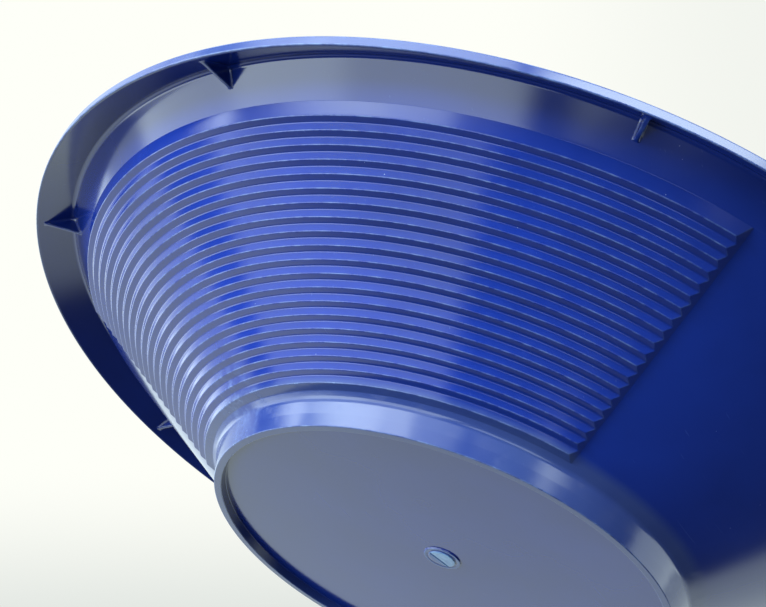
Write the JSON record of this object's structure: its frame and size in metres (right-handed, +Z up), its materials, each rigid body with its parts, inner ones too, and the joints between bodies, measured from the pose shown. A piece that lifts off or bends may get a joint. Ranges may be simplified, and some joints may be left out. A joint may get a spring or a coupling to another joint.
{
  "type": "gold pan",
  "caption": "Round moulded plastic gold pan with stepped riffles over part of its sloping wall, a ring foot and a turned-down rim braced by small webs.",
  "frame": {"origin": "centre of the foot ring, on the surface that the pan stands on", "axes": "+Z up out of the bowl along the pan's axis; the riffles are centred on -Y"},
  "size_m": [0.3556, 0.3556, 0.0718],
  "materials": {
    "blue_plastic": "semi-gloss moulded polypropylene"
  },
  "bodies": {
    "root": {"floor_disc": "blue_plastic", "gate_boss": "blue_plastic", "foot_ring": "blue_plastic", "plain_wall": "blue_plastic", "riffle_01": "blue_plastic", "riffle_02": "blue_plastic", "riffle_03": "blue_plastic", "riffle_04": "blue_plastic", "riffle_05": "blue_plastic", "riffle_06": "blue_plastic", "riffle_07": "blue_plastic", "riffle_08": "blue_plastic", "riffle_09": "blue_plastic", "riffle_10": "blue_plastic", "riffle_11": "blue_plastic", "riffle_12": "blue_plastic", "riffle_13": "blue_plastic", "riffle_14": "blue_plastic", "riffle_15": "blue_plastic", "riffle_16": "blue_plastic", "riffle_17": "blue_plastic", "riffle_18": "blue_plastic", "riffle_19": "blue_plastic", "riffle_20": "blue_plastic", "upper_band": "blue_plastic", "rim_crown": "blue_plastic", "rim_lip": "blue_plastic", "rim_gusset_1": "blue_plastic", "rim_gusset_2": "blue_plastic", "rim_gusset_3": "blue_plastic", "rim_gusset_4": "blue_plastic", "rim_gusset_5": "blue_plastic", "rim_gusset_6": "blue_plastic", "rim_gusset_7": "blue_plastic", "rim_gusset_8": "blue_plastic"}
  },
  "joints": []
}
